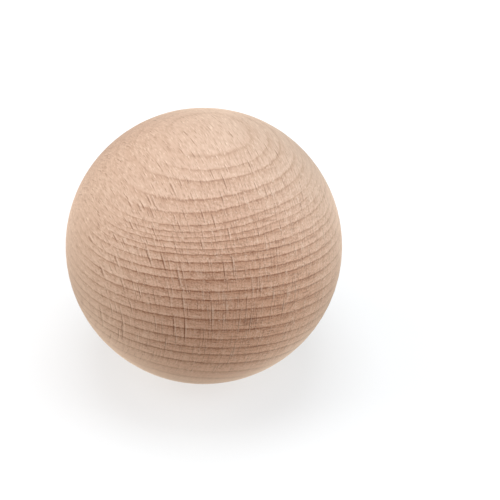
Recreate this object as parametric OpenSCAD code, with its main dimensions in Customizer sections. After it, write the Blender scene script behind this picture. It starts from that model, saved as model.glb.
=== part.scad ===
// Turned wooden ball: one piece of close-grained hardwood, a true sphere.
// It has no bore, flat or stem, and nothing is set into it.
// The origin is its centre. The ball lies with its fibres level, along Y, and
// with its growth rings nearly level: going up +Z crosses them from the heart
// of the tree towards the bark, and they lean about 10 degrees round Y.

/* [Ball] */
// Diameter of the ball, in millimetres
ball_d = 45; // [10:0.5:120]

/* [Preview] */
// Sides round the ball in a preview or a mesh export
smoothness = 192; // [24:8:256]

/* [Hidden] */

// Raw, sanded beech: pale tan with a touch of pink
wood_tone = "#caa58c";

module ball() {
    color(wood_tone)
        sphere(d = ball_d, $fn = smoothness);
}

ball();
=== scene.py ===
# %% [markdown]
# # A turned beech ball
#
# The real thing is one solid ball of beech, 45 mm across. It is turned on a lathe,
# sanded fine and left raw, so all that the eye has to go by is the wood itself:
# the growth rings, the rays that cross them, the pores, and the way that end grain
# looks darker than the sides of the fibres.
#
# A texture wrapped round a ball would give itself away, because a real ball is cut
# out of a log. So the wood here is built in three dimensions, and the ball's
# surface only shows where it cuts through that wood.
#
# The packed model is loaded first. It says how big the ball is and where it lies,
# and nothing below changes that.

# %% Load the packed model
import math

import bpy
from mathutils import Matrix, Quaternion, Vector


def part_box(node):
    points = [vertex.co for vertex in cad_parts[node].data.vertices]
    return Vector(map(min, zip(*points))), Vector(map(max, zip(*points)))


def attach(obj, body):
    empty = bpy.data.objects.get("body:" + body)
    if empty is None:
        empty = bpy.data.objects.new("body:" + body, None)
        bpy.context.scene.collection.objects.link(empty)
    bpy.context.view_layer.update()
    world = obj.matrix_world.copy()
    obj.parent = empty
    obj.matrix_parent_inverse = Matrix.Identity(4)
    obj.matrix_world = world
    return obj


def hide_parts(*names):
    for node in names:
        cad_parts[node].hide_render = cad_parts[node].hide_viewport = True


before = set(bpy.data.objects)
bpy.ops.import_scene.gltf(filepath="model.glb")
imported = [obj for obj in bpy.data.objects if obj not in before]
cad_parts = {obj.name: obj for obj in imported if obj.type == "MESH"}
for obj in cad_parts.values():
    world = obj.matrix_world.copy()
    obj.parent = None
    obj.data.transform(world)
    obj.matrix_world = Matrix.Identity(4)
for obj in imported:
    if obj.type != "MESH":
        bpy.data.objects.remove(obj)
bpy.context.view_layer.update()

MM = 0.001
BALL_LOW, BALL_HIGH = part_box("ball")
ball_centre = (Vector(BALL_LOW) + Vector(BALL_HIGH)) / 2
ball_radius = (BALL_HIGH[2] - BALL_LOW[2]) / 2
radius_mm = ball_radius / MM
print(f"ball: {radius_mm * 2:.2f} mm across, centre {tuple(ball_centre)}")

# %% [markdown]
# ## The camera
#
# A small object is best taken with a long lens from some way off, which keeps the
# ball round and shows nearly half of it. The camera looks down at about 37 degrees.
#
# The ball doesn't sit in the middle of the picture. Blender's lens shift could move
# it there, but a shift stays on in every other view. Turning the camera a little
# aside does the same and is what a photographer would do. The lens follows from the
# ball's size, the distance, and how many pixels the ball should fill.

# %% Place the camera
PICTURE_SIDE_PX = 500
BALL_CENTRE_PX = (204.2, 245.9)
BALL_RADIUS_PX = 138.2
CAMERA_AZIMUTH_DEG = -20.8
CAMERA_ELEVATION_DEG = 37.2
CAMERA_DISTANCE_M = 0.27
SENSOR_MM = 36
NEAREST_SEEN_M = 0.01


def towards(azimuth_deg, elevation_deg):
    """The direction out from the ball: azimuth 0 is the -Y side, and elevation is above the floor."""
    azimuth = math.radians(azimuth_deg)
    elevation = math.radians(elevation_deg)
    flat = math.cos(elevation)
    return Vector((math.sin(azimuth) * flat, -math.cos(azimuth) * flat, math.sin(elevation)))


half_angle = math.asin(ball_radius / CAMERA_DISTANCE_M)
focal_px = BALL_RADIUS_PX / math.tan(half_angle)
aside_px = PICTURE_SIDE_PX / 2 - BALL_CENTRE_PX[0]
above_px = PICTURE_SIDE_PX / 2 - BALL_CENTRE_PX[1]

outward_to_camera = towards(CAMERA_AZIMUTH_DEG, CAMERA_ELEVATION_DEG)
camera = bpy.data.objects.new("camera", bpy.data.cameras.new("camera"))
camera.data.sensor_width = SENSOR_MM
camera.data.lens = SENSOR_MM * focal_px / PICTURE_SIDE_PX
camera.data.clip_start = NEAREST_SEEN_M
camera.location = ball_centre + outward_to_camera * CAMERA_DISTANCE_M
camera.rotation_mode = "QUATERNION"
camera.rotation_quaternion = (
    (-outward_to_camera).to_track_quat("-Z", "Y")
    @ Quaternion((0, 1, 0), -math.atan(aside_px / focal_px))
    @ Quaternion((1, 0, 0), -math.atan(above_px / focal_px))
)
bpy.context.collection.objects.link(camera)
bpy.context.scene.camera = camera
print(f"camera: {camera.data.lens:.0f} mm lens, {CAMERA_DISTANCE_M / MM:.0f} mm away")

# %% [markdown]
# ## The table
#
# Small goods are often shot on a sheet of milk glass lit from below. Such a table
# throws light up under the ball and hides most of the shadow. Here it is one square
# that glows.
#
# Some rays that meet the table come from the camera and show it, and the others carry
# its light to the ball. The Is Camera Ray output of a Light Path node tells the two
# apart, so each gets its own colour ramp. Both are read by distance from the ball's
# centre, which on the table is never less than the ball's radius. What is **seen**
# goes from a soft grey where the ball touches down to white further out: the grey is
# a painted shadow, a contact shadow glowed into the table for the camera alone. What
# is **given** is bright under the ball, which lights its lower edge, and dim from a
# little way outside that edge.
#
# From below, the table is see-through, so that the underside can be looked at.

# %% How the table glows
GIVEN_BY_METRES = (
    (ball_radius, (0.705, 0.774, 0.758)),
    (0.036, (0.222, 0.211, 0.174)),
)
# What the camera sees of the table: the grey near the ball is a painted contact shadow.
SEEN_GLOW_AND_PAINTED_SHADOW_BY_METRES = (
    (ball_radius, 0.447),
    (0.030, 0.50),
    (0.060, 0.58),
    (0.450, 0.77),
)
# A Mix node has one set of sockets for each kind of data, and all share their names.
# These are the places of the two colours that go in and of the one that comes out.
FIRST_COLOUR, SECOND_COLOUR, MIXED_COLOUR = 6, 7, 2


def grey(shade):
    """A colour with no hue."""
    return (shade, shade, shade)


def colour_ramp(tree, stops):
    """A ramp with a colour at each (position, colour)."""
    ramp = tree.nodes.new("ShaderNodeValToRGB")
    made = ramp.color_ramp.elements
    made.remove(made[1])
    for number, (position, colour) in enumerate(stops):
        stop = made[0] if number == 0 else made.new(position)
        stop.position = position
        stop.color = (*colour, 1)
    return ramp


def glow_by_distance(tree):
    """The table's glow, one for the light it gives and one for the camera, with a painted shadow under
    the ball.
    """
    place = tree.nodes.new("ShaderNodeTexCoord")
    distance = tree.nodes.new("ShaderNodeVectorMath")
    distance.operation = "LENGTH"
    tree.links.new(place.outputs["Object"], distance.inputs[0])
    given = colour_ramp(tree, GIVEN_BY_METRES)
    seen = colour_ramp(tree, [(metres, grey(shade)) for metres, shade in SEEN_GLOW_AND_PAINTED_SHADOW_BY_METRES])
    for ramp in (given, seen):
        tree.links.new(distance.outputs["Value"], ramp.inputs["Fac"])
    ray = tree.nodes.new("ShaderNodeLightPath")
    either = tree.nodes.new("ShaderNodeMix")
    either.data_type = "RGBA"
    tree.links.new(ray.outputs["Is Camera Ray"], either.inputs["Factor"])
    tree.links.new(given.outputs["Color"], either.inputs[FIRST_COLOUR])
    tree.links.new(seen.outputs["Color"], either.inputs[SECOND_COLOUR])
    return either.outputs[MIXED_COLOUR]


print(f"table glow: {len(GIVEN_BY_METRES)} steps given, {len(SEEN_GLOW_AND_PAINTED_SHADOW_BY_METRES)} steps seen")

# %% [markdown]
# ### Laying it down
#
# A floor is one face, facing up, at the height of the ball's lowest point.
# Geometry's Backfacing output is 1 where a face is seen from behind, and there a
# Transparent shader takes over.

# %% Lay the table
TABLE_HALF_M = 3.0
TABLE_WHITE = 0.3
TABLE_ROUGHNESS = 0.9
TABLE_GLOW = 1.3


def light_table_finish():
    """Matt, glowing from above, and see-through from below."""
    finish = bpy.data.materials.new("light_table")
    finish.use_nodes = True
    tree = finish.node_tree
    sheet = tree.nodes["Principled BSDF"]
    sheet.inputs["Base Color"].default_value = (*grey(TABLE_WHITE), 1)
    sheet.inputs["Roughness"].default_value = TABLE_ROUGHNESS
    sheet.inputs["Specular IOR Level"].default_value = 0
    sheet.inputs["Emission Strength"].default_value = TABLE_GLOW
    tree.links.new(glow_by_distance(tree), sheet.inputs["Emission Color"])
    see_through = tree.nodes.new("ShaderNodeBsdfTransparent")
    side = tree.nodes.new("ShaderNodeNewGeometry")
    either = tree.nodes.new("ShaderNodeMixShader")
    tree.links.new(side.outputs["Backfacing"], either.inputs["Fac"])
    tree.links.new(sheet.outputs["BSDF"], either.inputs[1])
    tree.links.new(see_through.outputs["BSDF"], either.inputs[2])
    tree.links.new(either.outputs["Shader"], tree.nodes["Material Output"].inputs["Surface"])
    return finish


def flat_square(name, half, height):
    """A square facing up, centred under the ball."""
    mesh = bpy.data.meshes.new(name)
    corners = [(x * half, y * half, height) for x, y in ((-1, -1), (1, -1), (1, 1), (-1, 1))]
    mesh.from_pydata(corners, [], [(0, 1, 2, 3)])
    made = bpy.data.objects.new(name, mesh)
    bpy.context.collection.objects.link(made)
    return made


table = flat_square("table", TABLE_HALF_M, BALL_LOW[2])
table.data.materials.append(light_table_finish())
print(f"table: {TABLE_HALF_M * 2:.0f} m square, {BALL_LOW[2] / MM:.1f} mm from the ball's centre")

# %% [markdown]
# ## The lamps
#
# Raw wood has no gloss to catch a lamp, so it wants broad, soft light. A softbox
# overhead leaves the top pale. A wide panel at each side, about as strong, lifts the
# edges, and a weak lamp just above the camera opens the shade in front. An area
# lamp's size, and not its power, is what makes its light soft.
#
# No two lamps in a real studio are quite the same white, and neither are these: the
# left one is a little warm, and the right one is cool.

# %% Hang the lamps
LAMP_REACH_M = 0.6
# Degrees round from the camera, degrees up, side in metres, watts and colour.
LAMPS = {
    "overhead": (180, 84, 0.35, 2.58, (0.94, 0.97, 1)),
    "left_panel": (-90, 32, 0.45, 2.30, (1, 0.99, 0.955)),
    "right_panel": (90, 22, 0.45, 2.75, (0.78, 0.93, 1)),
    "front_fill": (0, 46, 0.3, 0.78, (0.925, 0.925, 1)),
}


def softbox(name, azimuth_deg, elevation_deg, side_m, power_w, colour):
    """A square lamp that faces the ball."""
    data = bpy.data.lights.new(name, "AREA")
    data.shape = "SQUARE"
    data.size = side_m
    data.energy = power_w
    data.color = colour
    lamp = bpy.data.objects.new(name, data)
    away = towards(azimuth_deg, elevation_deg)
    lamp.location = ball_centre + away * LAMP_REACH_M
    lamp.rotation_euler = away.to_track_quat("Z", "Y").to_euler()
    bpy.context.collection.objects.link(lamp)
    print(f"lamp {name}: {side_m:.2f} m square, {power_w:.2f} W")


for name, (aside_deg, up_deg, side_m, power_w, colour) in LAMPS.items():
    softbox(name, CAMERA_AZIMUTH_DEG + aside_deg, up_deg, side_m, power_w, colour)

# %% [markdown]
# ## The room
#
# The background should look white and yet give no light, or it would wash out the
# shading that the lamps make. Light Path does it again: the world's strength is 1 for
# the camera and 0 for all other rays. The Standard view keeps the colours as they are
# mixed, where Blender's usual one would soften them.

# %% Leave the room dark, but white to look at
room = bpy.data.worlds.new("white_room")
room.use_nodes = True
room_nodes = room.node_tree.nodes
room_nodes["Background"].inputs["Color"].default_value = (*grey(1), 1)
looked_at = room_nodes.new("ShaderNodeLightPath")
room.node_tree.links.new(looked_at.outputs["Is Camera Ray"], room_nodes["Background"].inputs["Strength"])
bpy.context.scene.world = room
bpy.context.scene.view_settings.view_transform = "Standard"
print(f"room: {room.name}, shown through the {bpy.context.scene.view_settings.view_transform} view")

# %% [markdown]
# ## Sums in a node tree
#
# The wood below is mostly arithmetic, and a page of node-by-node wiring hides what
# the sums are. A **Wire** holds one socket of a tree, and adding, taking away or
# multiplying Wires adds the right Math node and links it. The same helper works in
# a material and in Geometry Nodes, so both can share one description of the wood.

# %% The Wire helper
class Wire:
    """A number that flows through a node tree."""

    def __init__(self, tree, socket):
        self.tree = tree
        self.socket = socket

    def sum(self, operation, *others):
        """One Math node, which takes this number first and then the others."""
        made = self.tree.nodes.new("ShaderNodeMath")
        made.operation = operation
        for place, value in zip(made.inputs, (self, *others)):
            feed(self.tree, place, value)
        return Wire(self.tree, made.outputs["Value"])

    def __add__(self, other):
        return self.sum("ADD", other)

    def __sub__(self, other):
        return self.sum("SUBTRACT", other)

    def __mul__(self, other):
        return self.sum("MULTIPLY", other)

    def __truediv__(self, other):
        return self.sum("DIVIDE", other)

    def __neg__(self):
        return self * -1.0

    def squared(self):
        return self * self

    def size(self):
        """How far this number is from 0, above or below."""
        return self.sum("ABSOLUTE")

    def fraction(self):
        """The part after the decimal point."""
        return self.sum("FRACT")

    def ranging(self, start, end):
        """Goes evenly from start to end as this number goes from 0 to 1."""
        return self * (end - start) + start

    def between(self, start, end):
        """Rises smoothly from 0 to 1 as this number goes from start to end, up or down."""
        made = self.tree.nodes.new("ShaderNodeMapRange")
        made.interpolation_type = "SMOOTHSTEP"
        made.inputs["From Min"].default_value = start
        made.inputs["From Max"].default_value = end
        feed(self.tree, made.inputs["Value"], self)
        return Wire(self.tree, made.outputs["Result"])


def feed(tree, place, value):
    """Links a Wire into a socket, or sets a plain value on it."""
    if isinstance(value, Wire):
        tree.links.new(value.socket, place)
    else:
        place.default_value = value


print("sums: written with", ", ".join(name for name in vars(Wire) if not name.startswith("_")))

# %% [markdown]
# ## Directions and noise
#
# A position is three numbers in one wire. **Split** takes it apart, so that each
# direction can be stretched by itself, and **joined** puts it back. Noise read from a
# stretched position comes out as streaks, which is how every fibre, pore and cloud of
# this wood is made. Blender's noise lies around a half, and it is moved to lie around
# nought, so that it can add to a colour as well as take from it.

# %% Helpers for places and noise
def joined(tree, x, y, z):
    """Three numbers as one vector."""
    made = tree.nodes.new("ShaderNodeCombineXYZ")
    for place, value in zip(made.inputs, (x, y, z)):
        feed(tree, place, value)
    return Wire(tree, made.outputs["Vector"])


def split(tree, vector):
    """One vector as three numbers."""
    made = tree.nodes.new("ShaderNodeSeparateXYZ")
    feed(tree, made.inputs["Vector"], vector)
    return [Wire(tree, socket) for socket in made.outputs]


def scaled(tree, vector, factor):
    """A vector made longer or shorter."""
    made = tree.nodes.new("ShaderNodeVectorMath")
    made.operation = "SCALE"
    feed(tree, made.inputs[0], vector)
    feed(tree, made.inputs["Scale"], factor)
    return Wire(tree, made.outputs["Vector"])


def noise(tree, vector, detail=1.0):
    """Soft noise around 0, from about -1 to 1, with grains of about 1."""
    made = tree.nodes.new("ShaderNodeTexNoise")
    made.inputs["Scale"].default_value = 1.0
    made.inputs["Detail"].default_value = detail
    feed(tree, made.inputs["Vector"], vector)
    return (Wire(tree, made.outputs[0]) - 0.5) * 2.0


print("helpers: joined, split, scaled, noise")

# %% [markdown]
# ## How the ball was cut from the log
#
# Three directions matter in wood. The **fibres** run up the tree. **Outward** goes
# from the pith towards the bark, square across the growth rings. **Along** goes
# round the tree, along a ring. In this ball the fibres lie level, along Y, and the
# rings are tipped sideways by about ten degrees. So a place in the ball becomes a
# place in the log with one turn about Y, and metres become millimetres on the way.

# %% The log's own directions
RINGS_TIPPED_DEG = 9.7


def log_directions(tree, position):
    """Splits a place on the ball, in metres, into millimetres along the rings, fibres and outward."""
    tipped = tree.nodes.new("ShaderNodeVectorRotate")
    tipped.rotation_type = "Y_AXIS"
    tipped.inputs["Angle"].default_value = -math.radians(RINGS_TIPPED_DEG)
    feed(tree, tipped.inputs["Vector"], scaled(tree, position, 1 / MM))
    return split(tree, Wire(tree, tipped.outputs["Vector"]))


print(f"log: fibres along Y, rings tipped {RINGS_TIPPED_DEG} degrees round them")

# %% [markdown]
# ## The shape of the rings
#
# The rings aren't flat. The pith was some 90 mm below the ball's middle, so they arch,
# and the tree grew a little slower on one side, so they also draw together there.
# Three small terms, a square, a cross term and a cube, bend a flat stack of layers
# into that.
#
# No tree is that regular, though. Near the top a few rings **lean**: they run about
# 0.4 mm low on one side and 0.7 mm high on the other, as they do beside an old bump
# in the trunk. A slow wave and a fine ripple of noise then take the last stiffness
# out of every line.

# %% Bend the layers
RING_ARCH_PER_MM = 0.0055
RING_TAPER_PER_MM = 0.0052
RING_FLARE_PER_MM2 = 0.0001
LEAN_RISES_MM = (12.3, 15.4)
LEAN_FADES_MM = (20.8, 17.0)
LEAN_SIDES_MM = (-13.0, 6.0)
LEAN_LEFT_MM = 0.38
LEAN_RIGHT_MM = -0.67
WAVES_MM = ((0.08, 9.0), (0.11, 0.9))
WAVES_ALONG_FIBRES = 0.4


def ring_height(tree, along, fibre, outward):
    """How far outward a place would be if its ring were flat, in millimetres."""
    arched = (
        outward
        + along.squared() * RING_ARCH_PER_MM
        - along * outward * RING_TAPER_PER_MM
        - along.squared() * along * RING_FLARE_PER_MM2
    )
    where = arched.between(*LEAN_RISES_MM) * arched.between(*LEAN_FADES_MM)
    arched = arched + where * along.between(*LEAN_SIDES_MM).ranging(LEAN_LEFT_MM, LEAN_RIGHT_MM)
    place = joined(tree, along, fibre * WAVES_ALONG_FIBRES, outward)
    for height_mm, length_mm in WAVES_MM:
        arched = arched + noise(tree, scaled(tree, place, 1 / length_mm)) * height_mm
    return arched


for height_mm, length_mm in WAVES_MM:
    print(f"ring wave: {height_mm} mm high, {length_mm} mm long")

# %% [markdown]
# ## Growth rings
#
# Every ring is one year. It starts pale and open in spring and ends in a thin dark
# line in autumn, so the colour climbs slowly and then drops back at once. Good years
# gave wide rings and dry years narrow ones. Their widths are listed from the pith
# side outwards.
#
# A colour ramp turns the distance outward into an age in years: each stop is the
# end of one ring. The whole part of the age names the ring, and the fraction says
# how far through its year a place is.

# %% Ring widths, and the age of a place in the wood
RING_WIDTHS_MM = [
    2.6, 3.1, 2.4, 2.6, 2.4, 2.7, 2.2, 1.65, 1.9, 1.9, 2.0, 1.7, 1.7, 1.4,
    1.8, 1.15, 1.25, 1.1, 0.7, 1.0, 0.65, 0.75, 0.75, 1.4, 1.2, 1.55, 0.8, 0.85, 2.0,
]
FIRST_RING_MM = -23.37
years = len(RING_WIDTHS_MM)
growth_mm = sum(RING_WIDTHS_MM)


def age_in_years(tree, along, fibre, outward):
    """How many rings lie between the first one and this place."""
    ends = [sum(RING_WIDTHS_MM[:year]) / growth_mm for year in range(years + 1)]
    ramp = colour_ramp(tree, [(end, grey(year / years)) for year, end in enumerate(ends)])
    height = ring_height(tree, along, fibre, outward)
    feed(tree, ramp.inputs["Fac"], (height - FIRST_RING_MM) / growth_mm)
    return Wire(tree, ramp.outputs["Color"]) * float(years)


print(f"rings: {years}, {growth_mm:.1f} mm of growth")

# %% [markdown]
# ## The ball itself
#
# A ball made of latitude rings crowds its faces at two poles. Here a cube is cut
# into even squares and each corner is pushed out onto the sphere, so all the faces
# are nearly the same size. The tangent evens out the squares, which would otherwise
# be larger in the middle of each side. The shape follows a rule, so Geometry Nodes
# make it, from a radius, a number of squares and the depth of the rings.
#
# Sanding wears the soft spring wood a touch more than the hard autumn wood, so
# every ring stands up by two hundredths of a millimetre at its end. That is real
# shape, and the nodes add it with the same sums as the colour uses.

# %% The nodes that turn the ball
SQUARES_ALONG_EDGE = 112
RING_RELIEF_MM = 0.02
HARDEST_PART_OF_YEAR = 0.85


def cube_as_sphere(tree, squares):
    """A gridded cube, and the direction in which each of its points lies once it is round."""
    cube = tree.nodes.new("GeometryNodeMeshCube")
    cube.inputs["Size"].default_value = (2, 2, 2)
    for side in ("Vertices X", "Vertices Y", "Vertices Z"):
        feed(tree, cube.inputs[side], squares + 1)
    on_cube = Wire(tree, tree.nodes.new("GeometryNodeInputPosition").outputs["Position"])
    even = [(part * (math.pi / 4)).sum("TANGENT") for part in split(tree, on_cube)]
    rounded = tree.nodes.new("ShaderNodeVectorMath")
    rounded.operation = "NORMALIZE"
    feed(tree, rounded.inputs[0], joined(tree, *even))
    return cube, Wire(tree, rounded.outputs["Vector"])


def worn_radius(tree, way, radius, relief):
    """The radius after sanding: whole where the wood is hardest, less where it is soft."""
    age = age_in_years(tree, *log_directions(tree, scaled(tree, way, radius)))
    # A cosine less 1 runs from -2 to 0, so half of it takes away up to the whole relief.
    swell = ((age.fraction() - HARDEST_PART_OF_YEAR) * (2 * math.pi)).sum("COSINE") - 1
    return radius + swell * relief * 0.5


def ball_nodes():
    """A node tree that turns a ball: a cube, rounded, with its rings standing up a little."""
    tree = bpy.data.node_groups.new("turned_ball", "GeometryNodeTree")
    inputs = {"Radius": "Float", "Squares": "Int", "Ring Relief": "Float", "Wood": "Material"}
    for name, kind in inputs.items():
        tree.interface.new_socket(name, in_out="INPUT", socket_type="NodeSocket" + kind)
    tree.interface.new_socket("Geometry", in_out="OUTPUT", socket_type="NodeSocketGeometry")
    asked = {socket.name: Wire(tree, socket) for socket in tree.nodes.new("NodeGroupInput").outputs}
    cube, way = cube_as_sphere(tree, asked["Squares"])
    placed = tree.nodes.new("GeometryNodeSetPosition")
    radius = worn_radius(tree, way, asked["Radius"], asked["Ring Relief"])
    feed(tree, placed.inputs["Position"], scaled(tree, way, radius))
    finished = tree.nodes.new("GeometryNodeSetMaterial")
    feed(tree, finished.inputs["Material"], asked["Wood"])
    steps = (
        placed,
        tree.nodes.new("GeometryNodeSetShadeSmooth"),
        tree.nodes.new("GeometryNodeRealizeInstances"),
        finished,
        tree.nodes.new("NodeGroupOutput"),
    )
    before = cube.outputs["Mesh"]
    for step in steps:
        tree.links.new(before, step.inputs["Geometry"])
        before = step.outputs["Geometry"] if step.outputs else None
    return tree


print(f"ball nodes: {SQUARES_ALONG_EDGE} squares along an edge, rings {RING_RELIEF_MM} mm deep")

# %% [markdown]
# ### Running the nodes
#
# A Geometry Nodes modifier needs some object to sit on, and an empty mesh will do.
# Its settings are stored under each socket's identifier, not under the name that is
# shown, so the names are looked up once. Then the evaluated object is turned into a
# plain mesh and the modifier is taken off, which leaves a ball that any other program
# can read. The faces are smooth shaded, so the squares can't be seen.

# %% Turn the ball
def turned_ball(name, tree, **settings):
    """Runs the tree on an empty mesh and returns the plain result."""
    blank = bpy.data.objects.new(name, bpy.data.meshes.new(name))
    bpy.context.collection.objects.link(blank)
    lathe = blank.modifiers.new("lathe", "NODES")
    lathe.node_group = tree
    for socket in tree.interface.items_tree:
        wanted = socket.name.lower().replace(" ", "_")
        if socket.in_out == "INPUT" and wanted in settings:
            lathe[socket.identifier] = settings[wanted]
    whole = blank.evaluated_get(bpy.context.evaluated_depsgraph_get())
    plain = bpy.data.meshes.new_from_object(whole)
    blank.modifiers.clear()
    blank.data = plain
    return blank


beech = bpy.data.materials.new("raw_beech")
beech.use_nodes = True
ball = turned_ball(
    "beech_ball",
    ball_nodes(),
    radius=ball_radius,
    squares=SQUARES_ALONG_EDGE,
    ring_relief=RING_RELIEF_MM * MM,
    wood=beech,
)
print(f"beech_ball: {len(ball.data.polygons) * 2} triangles")

# %% [markdown]
# ## Where a place on the ball lies
#
# From here on it is all finish. Every layer of it asks the same things of a place on
# the ball, so they are worked out once and kept together. **End on** is 1 where the
# fibres point straight out of the surface and 0 where they lie in it. **Side on** is
# 1 on the two quarters, where the rings do. **Foot** is the lower part of the ball.
# **Fan** is the direction along the rings, drawn together towards the pith, because
# the rays of a tree spread like the ribs of a fan.
#
# Object coordinates are used throughout. They stay with the ball when it moves, and
# need no unwrapping.

# %% Measure a place on the ball
PITH_BELOW_MM = 90.0
FIBRES_ASIDE = 0.1
FOOT_MM = (-6.0, -14.0)
CLOUD_MM = (9, 14, 9)
CLOUD_DETAIL = 2.0


class Spot:
    """A place on the ball, as the log knows it."""

    def __init__(self, tree):
        self.tree = tree
        self.position = Wire(tree, tree.nodes.new("ShaderNodeTexCoord").outputs["Object"])
        self.along, self.fibre, self.outward = log_directions(tree, self.position)
        self.end_on = (self.fibre / radius_mm).squared()
        self.side_on = (self.along / radius_mm).squared()
        self.foot = self.outward.between(*FOOT_MM)
        self.fan = (self.along + self.fibre * FIBRES_ASIDE) / (self.outward / PITH_BELOW_MM + 1)
        self.cloud = self.noise(CLOUD_MM, CLOUD_DETAIL)

    def noise(self, sizes_mm, detail=1.0, fanned=False):
        """Noise with grains of these sizes along the rings, along the fibres and outward."""
        across = self.fan if fanned else self.along
        parts = [part / size for part, size in zip((across, self.fibre, self.outward), sizes_mm)]
        return noise(self.tree, joined(self.tree, *parts), detail)

    def facing(self, direction_deg, spread):
        """Rises from 0 to 1 as the ball's side turns to a direction. Spread is two cosines."""
        turn = self.tree.nodes.new("ShaderNodeVectorMath")
        turn.operation = "DOT_PRODUCT"
        feed(self.tree, turn.inputs[0], self.position)
        turn.inputs[1].default_value = towards(*direction_deg) / ball_radius
        return Wire(self.tree, turn.outputs["Value"]).between(*spread)


print(f"rays meet {PITH_BELOW_MM:.0f} mm below the middle, fibres run {FIBRES_ASIDE * 100:.0f}% aside")

# %% [markdown]
# ## Blending colours
#
# One Mix node does all the colouring, in two ways. A plain mix covers one colour with
# another, as a pale fleck does. Multiply shades what is there, as dark tissue does:
# the rings still show through it. The factor is a mask from the sums above.

# %% The blend helper
BEECH = (0.67, 0.465, 0.345)
END_GRAIN = (1.03, 0.79, 0.675)
RAY_BROWN = (0.42, 0.28, 0.20)
# The pale of flecks and pores, and also the painted highlight on the lit edge of each ray.
PALE_FLECK_AND_LIT_EDGE = (0.90, 0.70, 0.55)


def blended(tree, factor, first, second, how="MIX"):
    """Blends two colours."""
    made = tree.nodes.new("ShaderNodeMix")
    made.data_type = "RGBA"
    made.blend_type = how
    feed(tree, made.inputs["Factor"], factor)
    for number, colour in ((FIRST_COLOUR, first), (SECOND_COLOUR, second)):
        feed(tree, made.inputs[number], colour if isinstance(colour, Wire) else (*colour, 1))
    return Wire(tree, made.outputs[MIXED_COLOUR])


def shaded(tree, factor, colour, by):
    """Multiplies one colour by another, as far as the factor says."""
    return blended(tree, factor, colour, by, "MULTIPLY")


print(f"beech: {BEECH}, shaded by {END_GRAIN} on end grain")

# %% [markdown]
# ## How strongly the rings show
#
# On end grain the autumn lines are dark and sharp, and where the fibres lie in the
# surface they are faint. Sanding isn't even either: the rings fade a little from one
# side of the ball to the other, one end is left crisp, and the foot is soft. On one
# cheek the rings are also drawn fainter. Each of these multiplies the rings' strength.
# One ring differs from the next, so White Noise gives every year a chance number from
# its whole age, and a ragged noise breaks the lines up.

# %% Measure the rings' strength
# One cheek of the ball, where the rings are drawn fainter.
FAINT_CHEEK_DEG = (-142, 34)
FAINT_CHEEK_SPREAD = (0.38, 0.7)
CRISP_END_DEG = (-31, 20)
CRISP_END_SPREAD = (0.85, 1.0)
# Each pair is the strength where a mask is 0 and where it is 1.
RINGS_SHOW = {
    "end grain": (0.28, 1.0),
    "fainter cheek": (1.0, 0.4),
    "across the ball": (1.0, 0.62),
    "foot": (1.0, 0.6),
    "crisp end": (1.0, 1.25),
    "year": (0.75, 1.25),
}
RAGGED_MM = (0.6, 1.5, 0.35)
RAGGED = 0.6
CLOUDED = 0.5


def ring_strength(spot, age):
    """How much of a ring's full colour shows: 0 is plain wood."""
    one_year = spot.tree.nodes.new("ShaderNodeTexWhiteNoise")
    one_year.noise_dimensions = "1D"
    feed(spot.tree, one_year.inputs["W"], age.sum("FLOOR"))
    masks = {
        "end grain": spot.end_on,
        "fainter cheek": spot.facing(FAINT_CHEEK_DEG, FAINT_CHEEK_SPREAD),
        "across the ball": spot.along / radius_mm,
        "foot": spot.foot,
        "crisp end": spot.facing(CRISP_END_DEG, CRISP_END_SPREAD),
    }
    chance = Wire(spot.tree, one_year.outputs["Value"]).ranging(*RINGS_SHOW["year"])
    strength = chance + spot.noise(RAGGED_MM) * RAGGED + spot.cloud * CLOUDED
    for name, mask in masks.items():
        strength = strength * mask.ranging(*RINGS_SHOW[name])
    return strength


for name, (start, end) in RINGS_SHOW.items():
    print(f"rings by {name}: {start} to {end}")

# %% [markdown]
# ## The rings' colour
#
# A second ramp gives the tone at each part of a year: a dark line left over from the
# autumn before, a sudden pale spring, a slow climb, and the next dark line. A tone is
# what the beech is multiplied by, so 1 is plain beech. Ramps can't hold more than 1
# without trouble, and the spring wood needs it, so all the tones are divided by one
# span, and the beech is multiplied by it again.

# %% Colour the rings
RING_TONES = (
    (0.00, (0.54, 0.42, 0.34)),
    (0.05, (0.97, 0.95, 0.94)),
    (0.10, (1.16, 1.24, 1.30)),
    (0.20, (1.17, 1.27, 1.33)),
    (0.35, (1.12, 1.19, 1.24)),
    (0.50, (1.08, 1.13, 1.16)),
    (0.65, (1.02, 1.03, 1.04)),
    (0.80, (0.94, 0.92, 0.90)),
    (0.88, (0.83, 0.78, 0.73)),
    (0.93, (0.69, 0.60, 0.52)),
    (0.97, (0.52, 0.40, 0.32)),
    (1.00, (0.54, 0.42, 0.34)),
)
TONE_SPAN = 1.4


def ring_colour(spot):
    """Beech with its growth rings."""
    age = age_in_years(spot.tree, spot.along, spot.fibre, spot.outward)
    tones = [(position, [part / TONE_SPAN for part in tone]) for position, tone in RING_TONES]
    ramp = colour_ramp(spot.tree, tones)
    feed(spot.tree, ramp.inputs["Fac"], age.fraction())
    plain, full = grey(1 / TONE_SPAN), Wire(spot.tree, ramp.outputs["Color"])
    tone = blended(spot.tree, ring_strength(spot, age), plain, full)
    return shaded(spot.tree, 1.0, tone, [part * TONE_SPAN for part in BEECH])


print(f"ring tones: {len(RING_TONES)} through one year")

# %% [markdown]
# ## End grain, clouds and layers
#
# End grain soaks up light, so it is browner, and more so the straighter the fibres
# point outwards. Over that lie two slow changes. Clouds a centimetre across are
# patches of slightly darker wood. Layers are long in the ring and very thin outward:
# they are the faint bands within one year's growth.

# %% Shade the wood broadly
CLOUD_TINT = (0.94, 0.90, 0.88)
CLOUD_COVERS = (0.5, 1.1)
LAYER_MM = (2.5, 3.5, 0.25)
LAYER_SEEN = (-0.1, 0.6)
LAYER_BY_END_GRAIN = (0.08, 0.58)
FINE_DETAIL = 1.5


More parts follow.
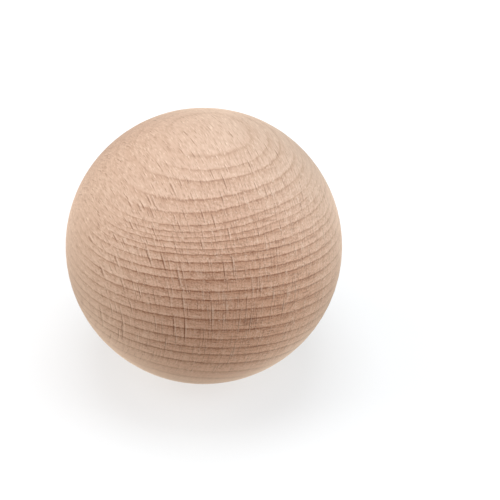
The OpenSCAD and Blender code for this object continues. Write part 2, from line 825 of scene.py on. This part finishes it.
def broadly_shaded(spot, colour):
    """Adds the brown of end grain, the clouds and the layers."""
    colour = shaded(spot.tree, spot.end_on, colour, END_GRAIN)
    colour = shaded(spot.tree, spot.cloud.ranging(*CLOUD_COVERS), colour, CLOUD_TINT)
    layers = spot.noise(LAYER_MM, FINE_DETAIL).between(*LAYER_SEEN)
    return shaded(spot.tree, layers * spot.end_on.ranging(*LAYER_BY_END_GRAIN), colour, RAY_BROWN)


print(f"clouds {CLOUD_MM[0]} mm across, layers {LAYER_MM[2]} mm thick")

# %% [markdown]
# ## Plates
#
# Between the rays that can be told apart, the wood is full of finer ones that only
# show as a grain running outward. Noise that is narrow along the rings and long
# outward and along the fibres gives them, dark on its high side and pale on its low
# side. Where the ball's surface meets them flat, at the two quarters, they would
# spread into blots, so **shown** holds them back there.

# %% Add the plates
PLATE_MM = (0.3, 1.7, 2.4)
PLATE_SEEN = (0.0, 0.7)
DARK_PLATES_TO_FOOT = (0.35, 0.20)
PALE_PLATES = 0.3
QUARTER = (0.97, 0.75)
SHOWN = (0.25, 1.0)


def with_plates(spot, colour):
    """Adds the grain that runs outward."""
    plates = spot.noise(PLATE_MM, FINE_DETAIL, fanned=True)
    shown = spot.side_on.between(*QUARTER).ranging(*SHOWN)
    dark = plates.between(*PLATE_SEEN) * shown * spot.foot.ranging(*DARK_PLATES_TO_FOOT)
    pale = (-plates).between(*PLATE_SEEN) * shown * PALE_PLATES
    colour = shaded(spot.tree, dark, colour, RAY_BROWN)
    return blended(spot.tree, pale, colour, PALE_FLECK_AND_LIT_EDGE)


print(f"plates: {PLATE_MM[0]} mm thick")

# %% [markdown]
# ## Rays
#
# Beech is known by its rays: thin upright plates of brown tissue that run from the
# pith outwards, square to the rings. Where the surface cuts them side on
# they show as short dark dashes, on the end grain as long fine lines, and on the
# quarter as flecks.
#
# A Voronoi texture scatters one point in each cell of a stretched grid. The cells
# are long outward, shorter along the fibres and narrow along the rings, and a thin
# lens is drawn round each point. A second lens lies beside the first, along one side
# of a ray: it is a painted highlight, the pale lit side of the ray's groove painted
# into the colour. The lens is an effect of its own with its own sizes, so it is a
# node group: it is built once, and is placed once for the few broad rays and again
# for the many fine ones.

# %% A node group for rays
WHERE = {"Fan": 0.0, "Fibre": 0.0, "Outward": 0.0}
BROAD_RAYS_MM = {"Spacing": 1.0, "Height": 2.6, "Length": 6.0, "Half Width": 0.1}
RAY_SCATTER = 0.9
LENS_TAPER = (2.1, 1.7)
LENS_EDGE = (1.0, 0.3)
# The painted highlight, a pale lit edge, lies this far beside each ray.
LIT_EDGE_BESIDE = 1.6


def new_group(name, inputs, outputs):
    """An empty shader group with named number inputs and outputs."""
    tree = bpy.data.node_groups.new(name, "ShaderNodeTree")
    for label, value in inputs.items():
        socket = tree.interface.new_socket(label, in_out="INPUT", socket_type="NodeSocketFloat")
        socket.default_value = value
    for label in outputs:
        tree.interface.new_socket(label, in_out="OUTPUT", socket_type="NodeSocketFloat")
    asked = {socket.name: Wire(tree, socket) for socket in tree.nodes.new("NodeGroupInput").outputs}
    return tree, asked, tree.nodes.new("NodeGroupOutput")


def rays_group():
    """Thin lenses, scattered: how deep inside one a place is, its chance number, and its pale lit edge,
    a painted highlight.
    """
    tree, asked, given = new_group("rays", {**WHERE, **BROAD_RAYS_MM}, ("Mask", "Chance", "Side"))
    pairs = (("Fan", "Spacing"), ("Fibre", "Height"), ("Outward", "Length"))
    here = [asked[place] / asked[size] for place, size in pairs]
    cells = tree.nodes.new("ShaderNodeTexVoronoi")
    cells.inputs["Scale"].default_value = 1.0
    cells.inputs["Randomness"].default_value = RAY_SCATTER
    feed(tree, cells.inputs["Vector"], joined(tree, *here))
    middle = split(tree, Wire(tree, cells.outputs["Position"]))
    fan_off, fibre_off, outward_off = [place - point for place, point in zip(here, middle)]
    reach = (fibre_off * LENS_TAPER[0]).squared() + (outward_off * LENS_TAPER[1]).squared()
    across = fan_off * asked["Spacing"] / asked["Half Width"]
    chance = split(tree, Wire(tree, cells.outputs["Color"]))[0]
    feed(tree, given.inputs["Mask"], (reach + across.size()).between(*LENS_EDGE))
    # Side is a painted highlight: the pale lit edge beside the ray.
    feed(tree, given.inputs["Side"], (reach + (across - LIT_EDGE_BESIDE).size()).between(*LENS_EDGE))
    feed(tree, given.inputs["Chance"], chance)
    return tree


rays = rays_group()
print(f"group {rays.name}: {len(rays.nodes)} nodes")

# %% [markdown]
# ### The bold rays
#
# Chance alone doesn't give a ball its face. A few rays are much bolder than the rest
# and the eye goes to them first, so these are placed one by one. The first four numbers
# of each are millimetres of the log: along the fan, along the fibres, outward, and
# how far the ray reaches. The fifth is how dark it is, from 0 to 1. Each is one small
# group node, and all of them share one tree.

# %% A node group for one bold ray, and where they lie
BOLD_HALF_WIDTH_MM = 0.12
BOLD_EDGE = (1.1, 0.4)
BOLD_RAYS = {
    "cheek_high": (-20.5, -3.6, 5.8, 1.1, 0.6),
    "cheek_middle": (-19.1, -10.0, 5.8, 1.1, 0.6),
    "cheek_low": (-20.9, -8.2, 2.9, 1.2, 0.65),
    "brow": (-17.6, -9.3, 8.9, 0.8, 0.5),
    "crown": (-10.3, -8.5, 17.4, 1.8, 0.5),
    "shoulder_left": (-14.5, -7.6, 13.9, 1.1, 0.5),
    "shoulder_right": (-12.9, -8.4, 15.2, 1.2, 0.5),
    "left_long": (-15.6, -13.4, 8.7, 1.9, 0.7),
    "left_short": (-14.2, -15.1, 8.8, 1.6, 0.75),
    "middle_top": (-12.9, -17.4, 7.3, 2.1, 0.65),
    "middle_long": (-12.85, -18.9, 3.6, 2.2, 0.65),
    "middle_foot": (-12.8, -19.6, -0.9, 3.3, 0.9),
    "low_left": (-14.2, -18.7, -0.8, 2.6, 0.75),
    "low_right": (-9.2, -20.9, 2.1, 3.3, 0.65),
    "right_high": (-5.7, -16.7, 14.3, 1.0, 0.6),
    "right_long": (-5.9, -19.3, 10.4, 1.8, 0.7),
}


def one_ray_group():
    """One ray at a chosen place, and its pale lit edge, a painted highlight."""
    middle = {"At Fan": 0.0, "At Fibre": 0.0, "At Outward": 0.0}
    sizes = {"Reach": 1.5, "Half Width": BOLD_HALF_WIDTH_MM}
    tree, asked, given = new_group("one_ray", {**WHERE, **middle, **sizes}, ("Mask", "Side"))
    fibre_off = asked["Fibre"] - asked["At Fibre"]
    outward_off = asked["Outward"] - asked["At Outward"]
    reach = (fibre_off.squared() + outward_off.squared()) / asked["Reach"].squared()
    across = (asked["Fan"] - asked["At Fan"]) / asked["Half Width"]
    feed(tree, given.inputs["Mask"], (reach + across.size()).between(*BOLD_EDGE))
    # Side is a painted highlight: the pale lit edge beside the ray.
    feed(tree, given.inputs["Side"], (reach + (across - LIT_EDGE_BESIDE).size()).between(*LENS_EDGE))
    return tree


one_ray = one_ray_group()
print(f"bold rays: {len(BOLD_RAYS)}, reaching up to {max(ray[3] for ray in BOLD_RAYS.values())} mm")

# %% [markdown]
# ### Laying the rays over the wood
#
# A broad ray and a fine one differ only in size and strength. Their strength is a
# list of what it is everywhere and what end grain, the quarters and the foot add to
# it or take away. Every ray also has a chance number of its own, so some are strong
# and some hardly show. The bold rays join the broad ones with a maximum and not a
# sum, so that a crossing isn't twice as dark.

# %% Add the rays
FINE_RAYS_MM = {"Spacing": 0.42, "Height": 1.4, "Length": 4.0, "Half Width": 0.07}
BROAD_STRENGTH = {"everywhere": 0.75, "end_on": 0.0, "side_on": 0.0, "foot": -0.4}
FINE_STRENGTH = {"everywhere": 0.4, "end_on": 0.35, "side_on": 0.25, "foot": -0.2}
# How strongly each kind of ray gets its painted highlight, the pale lit edge.
BROAD_LIT_EDGE = 0.35
FINE_LIT_EDGE = 0.6
BOLD_LIT_EDGE = 0.4


def group_node(spot, group, values):
    """Places a group, tells it where it is, and feeds its named inputs."""
    made = spot.tree.nodes.new("ShaderNodeGroup")
    made.node_tree = group
    where = {"Fan": spot.fan, "Fibre": spot.fibre, "Outward": spot.outward}
    for label, value in {**where, **values}.items():
        feed(spot.tree, made.inputs[label], value)
    return {socket.name: Wire(spot.tree, socket) for socket in made.outputs}


def scattered_rays(spot, sizes_mm, strength):
    """The dark mask and the pale edge of one size of ray."""
    made = group_node(spot, rays, sizes_mm)
    shown = spot.side_on.between(*QUARTER).ranging(*SHOWN)
    level = spot.end_on * strength["end_on"] + spot.side_on * strength["side_on"]
    level = level + spot.foot * strength["foot"] + strength["everywhere"]
    level = made["Chance"] * level * shown
    return made["Mask"] * level, made["Side"] * level


def with_rays(spot, colour):
    """Adds every ray, and returns the two dark masks as well, which are grooves."""
    broad, broad_side = scattered_rays(spot, BROAD_RAYS_MM, BROAD_STRENGTH)
    fine, fine_side = scattered_rays(spot, FINE_RAYS_MM, FINE_STRENGTH)
    # The pale edges are painted highlight: the lit side of each ray's groove.
    pale = broad_side * BROAD_LIT_EDGE + fine_side * FINE_LIT_EDGE
    for fan, fibre, outward, reach, darkness in BOLD_RAYS.values():
        place = {"At Fan": fan, "At Fibre": fibre, "At Outward": outward, "Reach": reach}
        bold = group_node(spot, one_ray, place)
        broad = broad.sum("MAXIMUM", bold["Mask"] * darkness)
        pale = pale + bold["Side"] * BOLD_LIT_EDGE
    colour = shaded(spot.tree, broad, colour, RAY_BROWN)
    colour = shaded(spot.tree, fine, colour, RAY_BROWN)
    return blended(spot.tree, pale, colour, PALE_FLECK_AND_LIT_EDGE), broad, fine


print(f"broad rays {BROAD_RAYS_MM['Spacing']} mm apart, fine rays {FINE_RAYS_MM['Spacing']} mm apart")

# %% [markdown]
# ## Pores
#
# Beech is a fine wood, whose pores are barely seen by themselves. They are vessels
# that run with the fibres: dots on end grain and short scratches elsewhere. One noise
# gives both, because it is five times longer along the fibres than across them.

# %% Add the pores
PORE_MM = (0.22, 1.1, 0.22)
PORE_DARK = (0.0, 0.6)
PORE_PALE = (0.1, 0.6)
PORE_STRENGTH = {"everywhere": 0.15, "end_on": 0.6, "side_on": 0.25}
PALE_PORES = 0.6


def with_pores(spot, colour):
    """Adds the pores, and returns their noise as well, which is part of the grooves."""
    pores = spot.noise(PORE_MM, FINE_DETAIL)
    level = spot.end_on * PORE_STRENGTH["end_on"] + spot.side_on * PORE_STRENGTH["side_on"]
    dark = pores.between(*PORE_DARK) * (level + PORE_STRENGTH["everywhere"])
    colour = shaded(spot.tree, dark, colour, RAY_BROWN)
    return blended(spot.tree, (-pores).between(*PORE_PALE) * PALE_PORES, colour, PALE_FLECK_AND_LIT_EDGE), pores


print(f"pores: {PORE_MM[0]} mm across, {PORE_MM[1]} mm long")

# %% [markdown]
# ## The rubbed underside
#
# Low down, this ball's figure is duller than above, as wood looks where it has been
# rubbed. A second, plainer material there would show a seam. So the whole pattern
# gives way smoothly, by up to three tenths, to the plain colour of the wood, and the
# grooves get shallower by as much.

# %% Rub the underside
RUBBED_MM = (-7.0, -13.0)
RUBBED_AWAY = 0.3


def rubbed_below(spot, colour):
    """Dulls the figure on the underside, and returns how much of it is left."""
    rubbed = spot.outward.between(*RUBBED_MM) * RUBBED_AWAY
    bare = shaded(spot.tree, spot.end_on, BEECH, END_GRAIN)
    return blended(spot.tree, rubbed, colour, bare), rubbed.ranging(1.0, 0.0)


print(f"underside: {RUBBED_AWAY:.0%} rubbed away below {RUBBED_MM[1]} mm")

# %% [markdown]
# ## The whole finish
#
# The layers go on in the order in which wood gets them: rings, broad shades, plates,
# rays, pores, wear. Rays and pores are tiny grooves too. They are narrower than the
# ball's faces, so they can't be cut into the mesh as the rings are, and their masks
# feed a Bump node instead.
#
# Sanded wood is covered in a fuzz of cut fibre ends, and from a low angle the eye
# looks along them and not between them. That is what Sheen in the Principled shader
# is for: a layer of fibres, tinted like the wood, that veils the figure towards the
# ball's edge and lifts the light there. It follows the lamps from any side, where a
# pale rim painted into the colour would be wrong from all sides but one.

# %% Put the finish together
PORE_DEPTH = 0.15
GROOVE_MM = 0.03
GROOVE_STRENGTH = 0.5
WOOD_ROUGHNESS = 0.6
WOOD_SPECULAR = 0.2
FUZZ = 1.0
FUZZ_TINT = (0.90, 0.68, 0.53)
FUZZ_ROUGHNESS = 0.4


def beech_finish(material):
    """Raw, fine-sanded beech."""
    tree = material.node_tree
    spot = Spot(tree)
    colour = broadly_shaded(spot, ring_colour(spot))
    colour = with_plates(spot, colour)
    colour, broad, fine = with_rays(spot, colour)
    colour, pores = with_pores(spot, colour)
    colour, left = rubbed_below(spot, colour)

    bump = tree.nodes.new("ShaderNodeBump")
    bump.inputs["Strength"].default_value = GROOVE_STRENGTH
    bump.inputs["Distance"].default_value = GROOVE_MM * MM
    feed(tree, bump.inputs["Height"], (-broad - fine - pores * PORE_DEPTH) * left)

    shader = tree.nodes["Principled BSDF"]
    feed(tree, shader.inputs["Base Color"], colour)
    tree.links.new(bump.outputs["Normal"], shader.inputs["Normal"])
    shader.inputs["Roughness"].default_value = WOOD_ROUGHNESS
    shader.inputs["Specular IOR Level"].default_value = WOOD_SPECULAR
    shader.inputs["Sheen Weight"].default_value = FUZZ
    shader.inputs["Sheen Tint"].default_value = (*FUZZ_TINT, 1)
    shader.inputs["Sheen Roughness"].default_value = FUZZ_ROUGHNESS


beech_finish(beech)
print(f"{beech.name}: {len(beech.node_tree.nodes)} nodes")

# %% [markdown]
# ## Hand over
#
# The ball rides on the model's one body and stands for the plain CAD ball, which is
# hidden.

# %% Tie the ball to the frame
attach(ball, "root")
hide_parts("ball")
